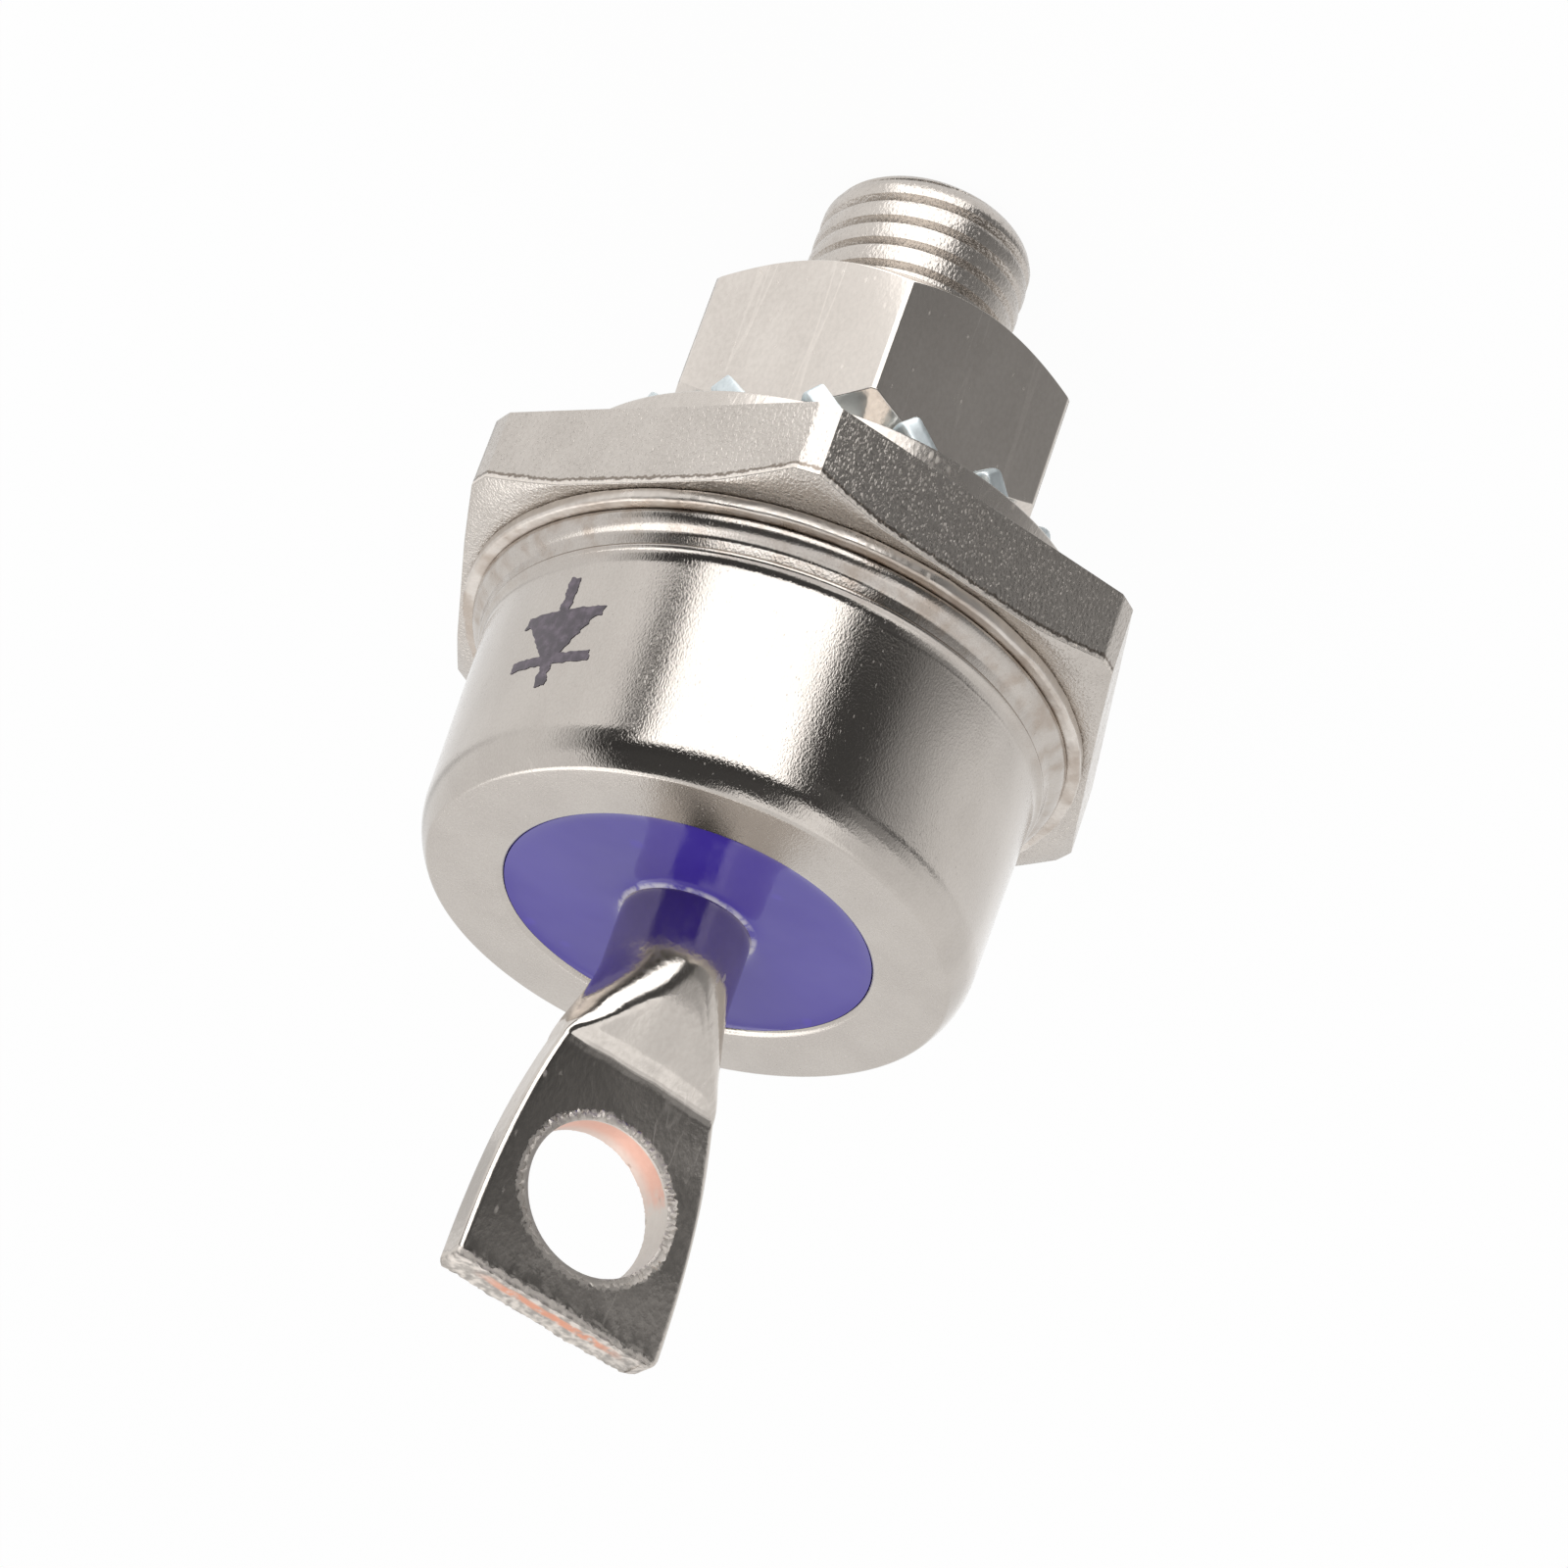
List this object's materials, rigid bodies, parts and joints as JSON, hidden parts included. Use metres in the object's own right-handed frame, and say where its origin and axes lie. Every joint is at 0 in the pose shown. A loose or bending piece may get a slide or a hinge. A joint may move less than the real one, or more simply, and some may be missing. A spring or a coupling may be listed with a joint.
{
  "type": "stud diode",
  "caption": "Stud-mounted rectifier diode: hexagonal base with a threaded stud, welded cap with a glass seal, flattened eye terminal, washers and nut.",
  "frame": {"origin": "centre of the seating face of the hexagonal base, on the stud's axis", "axes": "+Z along the axis from the stud towards the terminal, X across the terminal's flat tab, Y through its eye"},
  "size_m": [0.0194, 0.0172, 0.0349],
  "materials": {
    "plated_base": "nickel-plated copper alloy, satin",
    "weld_steel": "nickel-plated steel, slightly tinted by the weld",
    "cap_steel": "nickel-plated steel, bright drawn",
    "seal_glass": "glossy opaque blue-violet glass",
    "plated_terminal": "nickel-plated copper, pressed, copper bare at the cut edges",
    "solder": "dull solder",
    "molybdenum": "ground molybdenum",
    "silicon": "polished silicon",
    "bare_copper": "bare copper",
    "silicone": "cured silicone bead",
    "plated_washer": "nickel-plated steel, satin",
    "zinc_washer": "bright zinc-plated spring steel",
    "plated_nut": "nickel-plated steel, satin flats"
  },
  "bodies": {
    "root": {"base_stud": "plated_base", "weld_ring": "weld_steel", "cap": "cap_steel", "glass_seal": "seal_glass", "terminal": "plated_terminal", "base_solder": "solder", "lower_buffer_disc": "molybdenum", "lower_die_solder": "solder", "silicon_die": "silicon", "upper_die_solder": "solder", "upper_buffer_disc": "molybdenum", "lead_solder": "solder", "inner_lead": "bare_copper", "junction_coating": "silicone", "flat_washer": "plated_washer", "tooth_lock_washer": "zinc_washer", "hex_nut": "plated_nut"}
  },
  "joints": []
}
